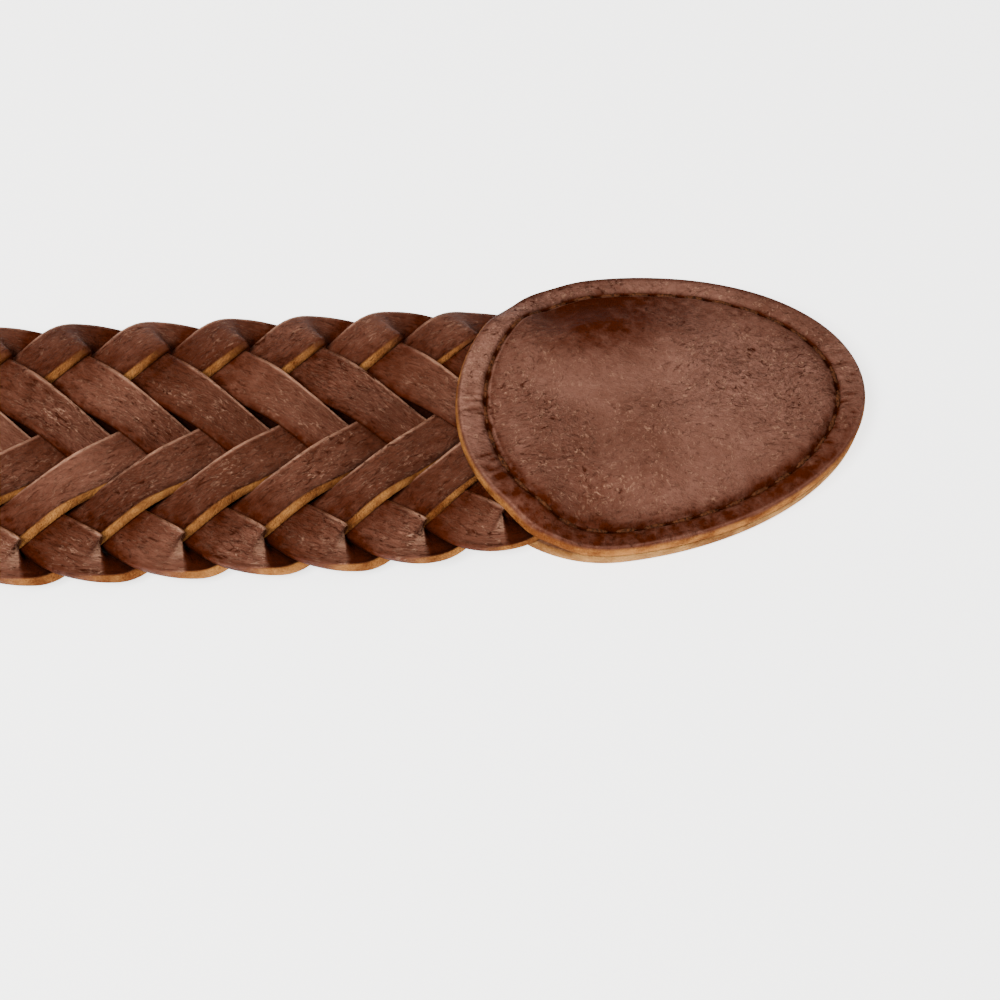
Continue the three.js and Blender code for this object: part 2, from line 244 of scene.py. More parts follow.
def rawEdgeGroup():
    # The cut side of leather: pale fibres, stained in places
    group, given, result = makeGroup("rawEdge", {
        "Place": ("Vector", (0, 0, 0)),
        "Pale": ("Color", leatherLook["edgePale"]),
        "Stained": ("Color", leatherLook["edgeStained"]),
    }, {"Color": "Color", "Height": "Float"})
    stain = noiseValue(group, given["Place"], 260.0, 3.0, 0.55, 0.35, 0.65)
    fibres = noiseValue(group, given["Place"], 3200.0, 3.0, 0.7, 0.25, 0.75)
    stain = mathNode(group, "MULTIPLY", stain, 0.8)
    mixed = mathNode(group, "MULTIPLY_ADD", fibres, 0.45, stain, clamp=True)
    plug(group, mixColor(group, mixed, given["Pale"], given["Stained"]), result["Color"])
    plug(group, fibres, result["Height"])
    return group


waxedGrain = waxedGrainGroup()
rawEdge = rawEdgeGroup()


def useGroup(tree, group, **inputs):
    node = tree.nodes.new("ShaderNodeGroup")
    node.node_tree = group
    for name, value in inputs.items():
        plug(tree, value, node.inputs[name])
    return node.outputs


def attributeValue(tree, name, output="Fac"):
    return addNode(tree, "ShaderNodeAttribute", {"attribute_name": name}).outputs[output]


def newMaterial(name, viewColor):
    material = bpy.data.materials.new(name)
    material.use_nodes = True
    material.diffuse_color = viewColor
    shader = material.node_tree.nodes["Principled BSDF"]
    return material, material.node_tree, shader.inputs


def leatherMaterial(name, face, light, deep, pale, stained, specular):
    # Grain leather on the face, raw leather on the cut sides. The piece's own attributes say where.
    material, tree, shader = newMaterial(name, face)
    place = tree.nodes.new("ShaderNodeTexCoord").outputs["Object"]
    along = attributeValue(tree, "alongAcross", "Vector")
    grain = useGroup(
        tree, waxedGrain, Place=place, Along=along, Face=face, Light=light, Deep=deep,
        Tone=attributeValue(tree, "tone"), Worn=attributeValue(tree, "shadeAndBurnish"),
        Grain=attributeValue(tree, "grain"),
    )
    edge = useGroup(tree, rawEdge, Place=place, Pale=pale, Stained=stained)
    cut = attributeValue(tree, "cutEdge")
    plug(tree, mixColor(tree, cut, grain["Color"], edge["Color"]), shader["Base Color"])
    roughness = mathNode(tree, "MULTIPLY_ADD", cut, 0.35, grain["Roughness"])
    plug(tree, roughness, shader["Roughness"])
    bump = addNode(tree, "ShaderNodeBump", Strength=1.0, Distance=leatherLook["grainDepth"])
    height = addNode(tree, "ShaderNodeMix", {"data_type": "FLOAT"})
    plug(tree, cut, height.inputs[0])
    plug(tree, grain["Height"], height.inputs[2])
    plug(tree, edge["Height"], height.inputs[3])
    plug(tree, height.outputs[0], bump.inputs["Height"])
    plug(tree, bump.outputs[0], shader["Normal"])
    shader["Specular IOR Level"].default_value = specular
    return material


strandLeather = leatherMaterial(
    "strandLeather", leatherLook["strandFace"], leatherLook["strandLight"], leatherLook["strandDeep"],
    leatherLook["edgePale"], leatherLook["edgeStained"], leatherLook["specular"],
)
tipLeather = leatherMaterial(
    "tipLeather", leatherLook["tipFace"], leatherLook["tipLight"], leatherLook["strandDeep"],
    leatherLook["edgePale"], leatherLook["edgeStained"], leatherLook["tipSpecular"],
)
backLeather = leatherMaterial(
    "backLeather", leatherLook["backFace"], leatherLook["backLight"], leatherLook["strandDeep"],
    leatherLook["creamPale"], leatherLook["creamStained"], leatherLook["specular"],
)


def threadMaterial():
    material, tree, shader = newMaterial("waxedThread", leatherLook["threadDeep"])
    place = tree.nodes.new("ShaderNodeTexCoord").outputs["Object"]
    strands = noiseValue(tree, place, 3000.0, 2.0, 0.5)
    color = mixColor(tree, strands, leatherLook["threadDeep"], leatherLook["threadLight"])
    plug(tree, color, shader["Base Color"])
    shader["Roughness"].default_value = 0.7
    shader["Specular IOR Level"].default_value = leatherLook["specular"]
    bump = addNode(tree, "ShaderNodeBump", Strength=0.6, Distance=0.00005, Height=strands)
    plug(tree, bump.outputs[0], shader["Normal"])
    return material


waxedThread = threadMaterial()
print("materials made")


# Mesh helpers

def smoothShare(start, end, value):
    t = min(1.0, max(0.0, (value - start) / (end - start)))
    return t * t * (3 - 2 * t)


def mixValue(a, b, share):
    return a + (b - a) * share


def finishPiece(name, bm, material, node):
    mesh = bpy.data.meshes.new(name)
    for face in bm.faces:
        face.smooth = True
    bm.to_mesh(mesh)
    bm.free()
    mesh.materials.append(material)
    piece = bpy.data.objects.new(name, mesh)
    bpy.context.scene.collection.objects.link(piece)
    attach(piece, "root")
    if node:
        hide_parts(node)
    return piece


def pieceLayers(bm):
    # Per-vertex values: raw cut side, painted shade with some burnished wear, tone with painted light,
    # coarseness of the grain
    layers = {key: bm.verts.layers.float.new(key) for key in ("cutEdge", "shadeAndBurnish", "tone", "grain")}
    layers["alongAcross"] = bm.verts.layers.float_vector.new("alongAcross")
    return layers


# Braid

braid = {
    "strands": 9,
    "pitch": 0.0108,
    "width": 0.0396,
    "edgeBulge": 0.00125,
    "lean": 0.5,
    "strandWidth": 0.00595,
    "riseWidth": 0.0065,
    "fallWidth": 0.0063,
    "layer": 0.00156,
    "thickness": 0.0015,
    "halfHeight": 0.00304,
    "spreadWidth": 0.0074,
    "spreadRows": 4,
    "bendInset": -0.0005,
    "firstBend": 0.0046,
    "tipGrip": 0.0105,
    "tabGrip": 0.020,
    "narrowing": 0.065,
    "narrowingRun": 0.018,
    "swayRun": 0.020,
    "swaySlope": 0.078,
    "tipSqueeze": 0.5,
    "tabSqueeze": 0.66,
    "squeezeRun": 0.010,
    "pressingStart": 0.004,
    "pressingEnd": 0.005,
    "nearSlant": 0.11,
    "stepsPerRow": 6,
    "wobble": 0.00014,
    # For each row of crossings from the far edge: layers of a strand's far and near sides, painted shade
    "farLayers": (-0.5, 0.5, 1.5, 0.5, -0.5, -1.5, -0.5, 0.5, 1.5),
    "nearLayers": (-1.5, -0.5, 0.5, 1.5, 0.5, -0.5, -1.5, -0.5, 0.5),
    "fallDark": (0.5, 0.8, 0.3, 0.02, 0.3, 0.95, 1.0, 0.85, 0.12),
    "riseDark": (0.2, 0.75, 1.0, 1.0, 0.45, 0.1, 0.35, 0.95, 1.1),
}

leather = {"thickness": 0.002, "gap": 0.0003}

# Round a strand: share across, share up, how much of the cut side it shows
strandProfile = (
    (0.0, -1.0, 0.0), (-0.6, -1.0, 0.0), (-0.96, -0.97, 0.2), (-1.03, -0.7, 1.0), (-1.03, 0.0, 1.0),
    (-1.0, 0.6, 1.0), (-0.975, 0.86, 0.1), (-0.9, 1.0, 0.0), (-0.5, 1.09, 0.0), (0.0, 1.12, 0.0),
    (0.5, 1.09, 0.0), (0.8, 1.04, 0.0), (0.9, 1.0, 0.0), (0.975, 0.86, 0.1), (1.0, 0.6, 1.0),
    (1.03, 0.0, 1.0), (1.03, -0.7, 1.0), (0.96, -0.97, 0.2), (0.6, -1.0, 0.0),
)

rowCount = braid["strands"]
rowStep = (braid["width"] - 2 * braid["edgeBulge"]) / rowCount
fallRun = (rowCount / 2 - braid["lean"]) * braid["pitch"]
riseRun = (rowCount / 2 + braid["lean"]) * braid["pitch"]
fallStep = Vector((fallRun / rowCount, -rowStep, 0))
riseStep = Vector((riseRun / rowCount, rowStep, 0))
tipStart = tipLow.x
tabEnd = tabHigh.x
braidStart = tabEnd - braid["tabGrip"]
braidEnd = tipStart + braid["tipGrip"]
tipBraidMiddle = leather["thickness"] + leather["gap"] + braid["halfHeight"] * braid["tipSqueeze"]
foldTop = leather["thickness"] + leather["gap"] + braid["thickness"] * braid["tipSqueeze"]
foldDrop = tipBraidMiddle + braid["thickness"] * braid["tipSqueeze"] / 2 - foldTop
tabMiddle = tabHigh.z / 2


def rowY(row):
    return (rowCount / 2 - row) * rowStep


def spreadAt(row):
    # The strands spread towards the braid's edges
    return min(1.0, abs(row + 0.5 - rowCount / 2) / braid["spreadRows"])


def fallShareAt(row):
    width = mixValue(braid["fallWidth"], braid["spreadWidth"], spreadAt(row))
    return width * fallStep.length / (braid["pitch"] * rowStep)


def riseShareAt(row):
    width = mixValue(braid["strandWidth"], braid["riseWidth"], spreadAt(row) ** 3)
    return width * riseStep.length / (braid["pitch"] * rowStep)


def edgeShareAt(y):
    # Share of the way from the first row of crossings out to the braid's edge
    return min(1.0, max(0.0, (abs(y) - rowY(1)) / (braid["width"] / 2 - rowY(1))))


def foldDropAt(x, y):
    # How far the outer folds are pressed down on the back leather inside the tip
    pressed = smoothShare(tipStart - braid["pressingStart"], tipStart + braid["pressingEnd"], x)
    return foldDrop * pressed * edgeShareAt(y)


def braidAt(x):
    # How far the braid is squeezed at x, and how high its middle lies
    inTip = smoothShare(tipStart - braid["squeezeRun"], tipStart + leather["gap"], x)
    inTab = 1 - smoothShare(tabEnd - leather["gap"], tabEnd + braid["squeezeRun"], x)
    squeeze = 1 - inTip * (1 - braid["tipSqueeze"]) - inTab * (1 - braid["tabSqueeze"])
    middle = braid["halfHeight"]
    middle += inTip * (tipBraidMiddle - braid["halfHeight"])
    middle += inTab * (tabMiddle - braid["halfHeight"])
    return squeeze, middle


def swayAt(x):
    # The belt bends sideways a little just before its tip
    run = braid["swayRun"]
    past = max(0.0, x - (tipStart - run))
    return braid["swaySlope"] * (past * past / (2 * run) if past < run else past - run / 2)


def widthShareAt(x):
    return 1 - braid["narrowing"] * smoothShare(braidEnd - braid["narrowingRun"], braidEnd, x)


# What a cut across a strand looks like, as x: share of rising, y: crease of the bend, z: painted shade
nearBendLook = Vector((0.75, 1, 0))
farBendLook = Vector((0.2, 0, 0.5))
farRiseLook = 0.35

strandLook = {
    "nearCutBare": (0.3, 0.95),
    "farCutBare": (0.6, 0.2),
    # Painted shade where the strand dives under others, lies low, sits behind a crease, along its near
    # side and underneath
    "rowDark": 1.05,
    "lowDark": 0.8,
    "lowLayers": (-0.2, -1.3),
    "nearSideDark": 0.6,
    "nearSide": (-0.75, -0.98),
    "behindCreaseDark": 1.15,
    "behindCrease": (1.0, 0.8),
    "undersideDark": 0.6,
    "mostDark": 2.0,
    "tone": 0.42,
    "toneSpread": 0.66,
    "tonePerMetre": 42,
    # Painted highlights on the crease of a bend and along the far rim
    "creaseHighlight": 2.0,
    "creaseReach": (-0.7, 0.2),
    "rimTone": 1.9,
    "rimSide": (0.8, 0.9),
    "rimTop": (0.5, 0.8),
    "grain": 1.2,
    "grainSpread": 0.7,
    "grainPerMetre": 55,
}


def cutAcross(middle, halfStep, farLayer, nearLayer, share, look):
    # A cut in the middle of a row, over the share of the row's width that the strand takes
    mean = (farLayer + nearLayer) / 2
    half = share * (farLayer - nearLayer) / 2
    up = Vector((0, 0, 1))
    far = middle + halfStep * share + up * (mean + half)
    near = middle - halfStep * share + up * (mean - half)
    return far, near, look


def bendCut(x, side):
    pivot = x + side * (fallStep.x - riseStep.x) / 2
    inner = Vector((pivot, side * (rowY(1) + braid["bendInset"]), 0))
    outer = Vector((pivot, side * braid["width"] / 2, 0))
    if side > 0:
        return outer, inner, farBendLook
    return inner, outer, nearBendLook


def strandCuts(index):
    # Cuts across one strand from the tab to the tip: far and near points with their layer as z
    cuts = []
    cycle = rowCount * braid["pitch"]
    firstBend = tipStart + braid["firstBend"] + index * braid["pitch"]
    cyclesBack = math.ceil((firstBend - braidStart) / cycle) + 1
    for turn in range(-cyclesBack, 2):
        farBend = firstBend + turn * cycle
        cuts.append(bendCut(farBend, 1))
        for row in range(rowCount):
            middle = Vector((farBend, rowY(0), 0)) + fallStep * (row + 0.5)
            layers = braid["farLayers"][row], braid["nearLayers"][row]
            look = Vector((0, 0, braid["fallDark"][row]))
            cuts.append(cutAcross(middle, riseStep / 2, *layers, fallShareAt(row), look))
        nearBend = farBend + fallRun
        cuts.append(bendCut(nearBend, -1))
        for row in reversed(range(rowCount)):
            middle = Vector((nearBend, rowY(rowCount), 0)) + riseStep * (rowCount - row - 0.5)
            layers = -braid["farLayers"][row], -braid["nearLayers"][row]
            look = Vector((1 if row else farRiseLook, 0, braid["riseDark"][row]))
            cuts.append(cutAcross(middle, -fallStep / 2, *layers, riseShareAt(row), look))
    return cuts


def splinePoint(points, i, t):
    before, start, end, after = points[i - 1], points[i], points[i + 1], points[i + 2]
    linear = (end - before) * t
    square = (before * 2 - start * 5 + end * 4 - after) * (t * t)
    cubic = (start * 3 - before - end * 3 + after) * (t * t * t)
    return (start * 2 + linear + square + cubic) / 2


def strandStations(index):
    # Closely spaced cuts with their look
    cuts = strandCuts(index)
    stations = []
    steps = braid["stepsPerRow"]
    far, near = [cut[0] for cut in cuts], [cut[1] for cut in cuts]
    for i in range(1, len(cuts) - 2):
        for step in range(steps):
            t = step / steps
            farPoint, nearPoint = splinePoint(far, i, t), splinePoint(near, i, t)
            middleX = (farPoint.x + nearPoint.x) / 2
            if braidStart <= middleX <= braidEnd:
                stations.append((farPoint, nearPoint, cuts[i][2].lerp(cuts[i + 1][2], t)))
    return stations


def strandTints(look):
    # How bare the cut sides are: the near side where the strand rises, the far side a little elsewhere
    bare = smoothShare(*strandLook["nearCutBare"], look.x)
    return bare, mixValue(*strandLook["farCutBare"], look.x)


# Painted shade: where the strand dives or lies low in the weave, behind the crease of a bend, along its
# near side and underneath
def strandPaintedShade(look, height, sideways, upward):
    dark = strandLook["rowDark"] * look.z
    dark += strandLook["lowDark"] * smoothShare(*strandLook["lowLayers"], height)
    if look.x > nearBendLook.x and look.y > 0:
        behind = smoothShare(*strandLook["behindCrease"], look.y)
        dark = max(dark, strandLook["behindCreaseDark"] * behind)
    dark += strandLook["nearSideDark"] * (1 - look.x) * smoothShare(*strandLook["nearSide"], sideways)
    if upward < 0:
        dark += strandLook["undersideDark"]
    return min(strandLook["mostDark"], dark)


def strandToneAndHighlight(look, length, index, sideways, upward):
    # Tone varies at random along the strand; tone over 1 is a painted highlight along the far rim and on
    # the crease of a bend
    cloud = noise.noise(Vector((length * strandLook["tonePerMetre"], index * 5.3, 1.7)))
    tone = strandLook["tone"] + strandLook["toneSpread"] * cloud
    crease = smoothShare(0.5, 0.72, look.y) * smoothShare(*strandLook["creaseReach"], sideways)
    if look.x > nearBendLook.x:
        crease *= smoothShare(0.9, 1.0, look.y)
    rim = smoothShare(*strandLook["rimSide"], sideways) * smoothShare(*strandLook["rimTop"], upward)
    rim *= smoothShare(0.9, 0.3, look.z)
    lightCrease = mixValue(tone, strandLook["creaseHighlight"], crease)
    lightRim = mixValue(tone, strandLook["rimTone"], rim)
    return max(lightCrease, lightRim)


def strandGrain(length, index):
    patch = noise.noise(Vector((length * strandLook["grainPerMetre"], index * 3.1, 6.3)))
    return strandLook["grain"] + strandLook["grainSpread"] * patch


def makeStrand(index):
    stations = strandStations(index)
    bm = bmesh.new()
    layers = pieceLayers(bm)
    columns, rows = len(stations) - 1, len(strandProfile)
    bmesh.ops.create_grid(bm, x_segments=columns, y_segments=rows, size=0.5)
    halfThickness = braid["thickness"] / 2
    length, before = 0.0, None
    placed = []
    for far, near, look in stations:
        seed = Vector((far.x * 60, far.y * 60, index * 3.7))
        shift = noise.noise_vector(seed) * braid["wobble"]
        shift.z *= 0.5
        squeeze, middle = braidAt((far.x + near.x) / 2)
        lift = braid["layer"] * squeeze
        farPlace, nearPlace = [
            Vector((
                edge.x, edge.y * widthShareAt(edge.x) + swayAt(edge.x),
                middle + edge.z * lift - foldDropAt(edge.x, edge.y),
            )) + shift
            for edge in (far, near)
        ]
        centre = (farPlace + nearPlace) / 2
        across = (farPlace - nearPlace) / 2
        up = Vector((0, 0, 1)) - across * (across.z / across.length_squared)
        up = up.normalized() * halfThickness * squeeze
        length += (centre - before).length if before else 0.0
        before = centre
        placed.append((centre, across, up, look, length, (far.z + near.z) / 2))
    for vert in bm.verts:
        column = round((vert.co.x + 0.5) * columns)
        row = round((vert.co.y + 0.5) * rows) % rows
        centre, across, up, look, length, height = placed[column]
        sideways, upward, cut = strandProfile[row]
        nearCut, farCut = strandTints(look)
        vert[layers["cutEdge"]] = cut * (farCut if sideways > 0 else nearCut)
        vert[layers["shadeAndBurnish"]] = strandPaintedShade(look, height, sideways, upward)
        if sideways < -0.95:
            sideways += braid["nearSlant"] * upward * look.x
        vert.co = centre + across * sideways + up * upward
        vert[layers["tone"]] = strandToneAndHighlight(look, length, index, sideways, upward)
        vert[layers["grain"]] = strandGrain(length, index)
        vert[layers["alongAcross"]] = Vector((length * 100, sideways * 0.3, index * 1.9))
    bmesh.ops.remove_doubles(bm, verts=bm.verts[:], dist=1e-7)
    bmesh.ops.holes_fill(bm, edges=[edge for edge in bm.edges if edge.is_boundary], sides=0)
    bmesh.ops.recalc_face_normals(bm, faces=bm.faces[:])
    node = f"strand_{index + 1}"
    return finishPiece(f"braidStrand{index + 1}", bm, strandLeather, node)


for strandIndex in range(rowCount):
    makeStrand(strandIndex)
print("braid made")


# Tip

tip = {
    "length": tipHigh.x - tipLow.x,
    "width": 0.0436,
    "bluntLength": 0.0215,
    "rimClosing": 0.006,
    "domeClosing": 0.036,
    "domeReach": 0.4,
    "marginEnd": 0.004,
    "marginSide": 0.0029,
    "seamDepth": 0.0007,
    "dome": 0.0013,
    "bandBulge": 0.00022,
    "stitchPitch": 0.004,
    "ringPoints": 360,
    "ripple": 0.00012,
    "wrinkle": 0.0002,
    "pucker": 0.0002,
    "domeSteepness": 5.4,
    "seamSpread": 0.13,
    "seamFall": 30,
}

tipLook = {
    # Painted shade: a patch and a broader shade on the far slope of the dome, under the seam's ledge,
    # along the near band, at the far edge, in the rim's creases and underneath
    "patchTurn": 1.64,
    "patchSpread": 0.6,
    "patchReach": (0.86, 0.3),
    "patchDark": 1.1,
    "farTurn": 1.15,
    "farSpread": 0.62,
    "farReach": (0.4, 0.04),
    "farDark": 0.45,
    "ledgeFall": 30,
    "teethPerStitch": 1.7,
    "teeth": 1.6,
    "bandDark": 0.86,
    "edgeDark": 0.95,
    "wrinkleDark": 0.9,
    "undersideDark": 0.6,
    # Tone: random clouds, painted light on the rim's left side, painted shade on the dome's near side,
    # lighter towards the right
    "domeTone": 0.4,
    "rimTone": 0.58,
    "toneSpread": 0.35,
    "tonePerMetre": 60,
    "rightTone": 0.42,
    "nearShade": 0.26,
    "leftRimLight": 0.5,
    "grain": 0.5,
    "crowdGrain": 0.5,
    "crowdsPerMetre": 75,
    "farGrain": 0.35,
    "plainGrain": 0.8,
    "windsPerMetre": 85,
    "wind": 0.22,
    "along": 150,
    "across": 75,
}
tipWidest = tipStart + tip["bluntLength"]
tipClosed = leather["thickness"] + leather["gap"]
tipOpen = tipBraidMiddle + braid["halfHeight"] * braid["tipSqueeze"] + leather["gap"]


def tipPoint(turn, insetEnd, insetSide, reach):
    blunt = tip["bluntLength"]
    reachX = blunt if math.cos(turn) < 0 else tip["length"] - blunt
    x = tipWidest + (reachX - insetEnd) * (1 - reach) * math.cos(turn)
    y = (tip["width"] / 2 - insetSide) * (1 - reach) * math.sin(turn)
    return Vector((x, y + swayAt(x), 0))


def tipUnderside(spot, reach):
    # Over the braid at the blunt end, lower towards the braid's edges, and closed beyond its end
    y = (spot.y - swayAt(spot.x)) / widthShareAt(spot.x)
    opened = tipOpen - (tipOpen - leather["gap"] - foldTop) * smoothShare(0, 1, edgeShareAt(y))
    rim = smoothShare(braidEnd, braidEnd + tip["rimClosing"], spot.x)
    dome = smoothShare(braidEnd, braidEnd + tip["domeClosing"], spot.x)
    share = mixValue(rim, dome, smoothShare(0, tip["domeReach"], reach))
    return mixValue(opened, tipClosed, share)


seamSteps = 720


def seamPath():
    # Turns round the seam with the length from its start, to space the stitches evenly
    turns = [2 * math.pi * i / seamSteps for i in range(seamSteps + 1)]
    points = [tipPoint(turn, tip["marginEnd"], tip["marginSide"], 0) for turn in turns]
    lengths = [0.0]
    for first, second in zip(points, points[1:]):
        lengths.append(lengths[-1] + (second - first).length)
    return turns, lengths


seamTurns, seamLengths = seamPath()
stitchCount = round(seamLengths[-1] / tip["stitchPitch"])


def seamPhase(turn):
    # How many stitches along the seam a turn is
    turn %= 2 * math.pi
    i = min(seamSteps - 1, int(turn / (2 * math.pi) * seamSteps))
    share = (turn - seamTurns[i]) / seamTurns[1]
    return mixValue(seamLengths[i], seamLengths[i + 1], share) / seamLengths[-1] * stitchCount


def domeRise(reach):
    # Share of the dome's height, at a share of the way from the seam to the middle
    return 1 - (1 - reach) ** tip["domeSteepness"]


def tipTop(turn, inset, reach):
    # Height of the front leather's face over its underside, and how deep in the seam it is
    spot = tipPoint(turn, inset * tip["marginEnd"], inset * tip["marginSide"], reach)
    hole = 0.5 + 0.5 * math.cos(2 * math.pi * seamPhase(turn))
    fromSeam = abs(inset - 1) / tip["seamSpread"] + reach * tip["seamFall"]
    seam = math.exp(-fromSeam ** 2)
    rise = domeRise(reach)
    rise += 0.12 * smoothShare(1.0, 1.16, inset)
    band = math.sin(math.pi * min(1.0, inset / 0.95)) if inset < 0.95 else 0
    height = leather["thickness"] + min(1.0, rise) * tip["dome"] + band * tip["bandBulge"]
    height -= seam * tip["seamDepth"] * (0.72 + 0.42 * hole ** 3)
    height -= seam * tip["pucker"] * noise.noise(Vector((spot.x * 420, spot.y * 420, 8.8)))
    ripple = noise.noise(Vector((spot.x * 130, spot.y * 130, 2.2))) * tip["ripple"]
    if reach <= 0:
        ripple -= tipWrinkle(turn, inset) * tip["wrinkle"]
    return spot, height + ripple * smoothShare(0, 0.3, inset), seam, hole


def tipFrontRings():
    # (inset, reach, kind, share) from the middle of the underside out, up the cut side and in
    rings = [(1.16, reach, "under", 0) for reach in (0.97, 0.8, 0.6, 0.4, 0.2, 0.08)]
    rings += [(inset, 0, "under", 0) for inset in (1.0, 0.6, 0.25, 0.05)]
    rings += [(inset, 0, "side", up) for inset, up in
              ((0.0, 0.02), (-0.02, 0.2), (-0.025, 0.45), (-0.01, 0.68), (0.02, 0.8), (0.06, 0.9))]
    rings += [(0.12 + 0.06 * step, 0, "top", 0) for step in range(18)]
    rings += [(1.16, reach, "top", 0) for reach in
              (0.01, 0.03, 0.06, 0.1, 0.15, 0.2, 0.27, 0.34, 0.42, 0.5, 0.6, 0.7, 0.8, 0.9, 0.97)]
    return rings


def tipWrinkle(turn, inset):
    # Short creases across the rim, at its near left and its right
    zone = smoothShare(0.5, 0.95, math.cos(turn + 0.45)) + smoothShare(0.6, 0.95, -math.cos(turn - 0.5))
    line = noise.noise(Vector((math.cos(turn) * 34, math.sin(turn) * 34, inset * 0.9)))
    return zone * smoothShare(0.06, 0.4, line) * smoothShare(0.15, 0.4, inset)


def bellShare(middle, spread, value):
    return math.exp(-((value - middle) / spread) ** 2)


def tipShadeAndBurnish(turn, inset, reach, seam, hole):
    # Painted shade along the near border, which is partly burnished there, in the seam groove and stitch
    # holes, under the seam's ledge, at the far edge, in the rim's creases, and in patches on the far
    # slope of the dome
    sine, cosine = math.sin(turn), math.cos(turn)
    near = smoothShare(0.05, -0.72, sine)
    seamDark = seam ** 1.6 * (1.0 + 0.8 * hole)
    if reach > 0:
        patch = bellShare(tipLook["patchTurn"], tipLook["patchSpread"], turn)
        patch *= tipLook["patchDark"] * smoothShare(*tipLook["patchReach"], reach)
        farShade = bellShare(tipLook["farTurn"], tipLook["farSpread"], turn)
        farShade *= tipLook["farDark"] * smoothShare(*tipLook["farReach"], reach)
        place = Vector((seamPhase(turn) * tipLook["teethPerStitch"], reach * 12, 4.4))
        teeth = 1 + tipLook["teeth"] * max(0.0, noise.noise(place))
        ledge = math.exp(-reach * tipLook["ledgeFall"] / teeth) * (0.55 + 0.45 * near)
        return max(seamDark, patch, farShade, ledge)
    band = near * smoothShare(0.04, 0.22, inset) * (1.0 - 0.2 * smoothShare(0.75, 1.0, -cosine))
    farEdge = smoothShare(0.3, 0.8, sine) * smoothShare(0.42, 0.05, inset)
    return max(
        tipLook["bandDark"] * band, tipLook["edgeDark"] * farEdge, seamDark,
        tipLook["wrinkleDark"] * tipWrinkle(turn, inset),
    )


def tipTone(turn, reach, spot):
    # Partly random tone, with painted light on the rim's left side, painted shade near the rim on the
    # near side, and lighter towards the right
    scale = tipLook["tonePerMetre"]
    cloud = tipLook["toneSpread"] * noise.noise(Vector((spot.x * scale, spot.y * scale, 5.1)))
    if reach > 0:
        outward = smoothShare(1.0, 0.4, reach)
        right = tipLook["rightTone"] * smoothShare(0.1, 0.9, math.cos(turn)) * outward
        near = tipLook["nearShade"] * smoothShare(-0.2, -0.9, math.sin(turn)) * outward
        return tipLook["domeTone"] + cloud + right - near
    left = smoothShare(0.3, 0.95, -math.cos(turn + 0.35))
    return tipLook["rimTone"] + cloud + tipLook["leftRimLight"] * left


def tipGrain(turn, reach, spot):
    # Calm in the middle, coarser in crowds and towards the far and right sides
    scale = tipLook["crowdsPerMetre"]
    crowd = smoothShare(-0.05, 0.4, noise.noise(Vector((spot.x * scale, spot.y * scale, 9.4))))
    outer = smoothShare(0.75, 0.2, reach) * smoothShare(-0.2, 0.7, math.sin(turn + 0.3))
    return tipLook["grain"] + tipLook["crowdGrain"] * crowd + tipLook["farGrain"] * outer


def tipPlace(spot):
    # The grain's own coordinates, drawn and wound a little so that it has no one direction
    scale = tipLook["windsPerMetre"]
    wind = noise.noise_vector(Vector((spot.x * scale, spot.y * scale, 3.3))) * tipLook["wind"]
    return Vector((spot.x * tipLook["along"] + wind.x, spot.y * tipLook["across"] + wind.y, 0))


def ringPiece(name, rings, place, node, material):
    # Rings of points, each drawn out of the last one with an extrude and then put in place
    bm = bmesh.new()
    layers = pieceLayers(bm)
    turnLayer = bm.verts.layers.float.new("turn")
    bmesh.ops.create_circle(bm, segments=tip["ringPoints"], radius=1)
    for vert in bm.verts:
        vert[turnLayer] = math.atan2(vert.co.y, vert.co.x)
    verts, edges = bm.verts[:], bm.edges[:]
    for number, ring in enumerate(rings):
        if number:
            made = bmesh.ops.extrude_edge_only(bm, edges=edges)["geom"]
            verts = [item for item in made if isinstance(item, bmesh.types.BMVert)]
            fresh = set(verts)
            edges = [item for item in made if isinstance(item, bmesh.types.BMEdge)
                     and item.verts[0] in fresh and item.verts[1] in fresh]
        for vert in verts:
            place(vert, vert[turnLayer], ring, layers)
    caps = bmesh.ops.holes_fill(bm, edges=[edge for edge in bm.edges if edge.is_boundary], sides=0)
    bmesh.ops.poke(bm, faces=caps["faces"])
    bmesh.ops.recalc_face_normals(bm, faces=bm.faces[:])
    bm.verts.layers.float.remove(turnLayer)
    return finishPiece(name, bm, material, node)


def placeTipFront(vert, turn, ring, layers):
    inset, reach, kind, share = ring
    spot, height, seam, hole = tipTop(turn, inset, reach)
    under = tipUnderside(spot, reach)
    if kind == "under":
        spot.z = under + tip["dome"] * domeRise(reach)
        # Painted shade underneath
        vert[layers["shadeAndBurnish"]] = tipLook["undersideDark"]
    elif kind == "side":
        edgeTop = tipTop(turn, 0.12, 0)[1]
        spot.z = under + share * edgeTop
        vert[layers["cutEdge"]] = 1 - smoothShare(0.72, 0.86, share)
    else:
        spot.z = under + height
        vert[layers["shadeAndBurnish"]] = tipShadeAndBurnish(turn, inset, reach, seam, hole)
    vert.co = spot
    vert[layers["tone"]] = tipTone(turn, reach, spot)
    vert[layers["grain"]] = tipGrain(turn, reach, spot)
    vert[layers["alongAcross"]] = tipPlace(spot)


def tipBackRings():
    rings = [(1.16, reach, "under", 0) for reach in (0.97, 0.6, 0.2)]
    rings += [(inset, 0, "under", 0) for inset in (1.0, 0.5, 0.08)]
    rings += [(inset, 0, "side", up) for inset, up in
              ((0.02, 0.06), (0.0, 0.2), (-0.01, 0.5), (0.0, 0.85), (0.04, 0.97))]
    rings += [(inset, 0, "top", 0) for inset in (0.12, 0.6, 1.0)]
    rings += [(1.16, reach, "top", 0) for reach in (0.2, 0.6, 0.97)]
    return rings


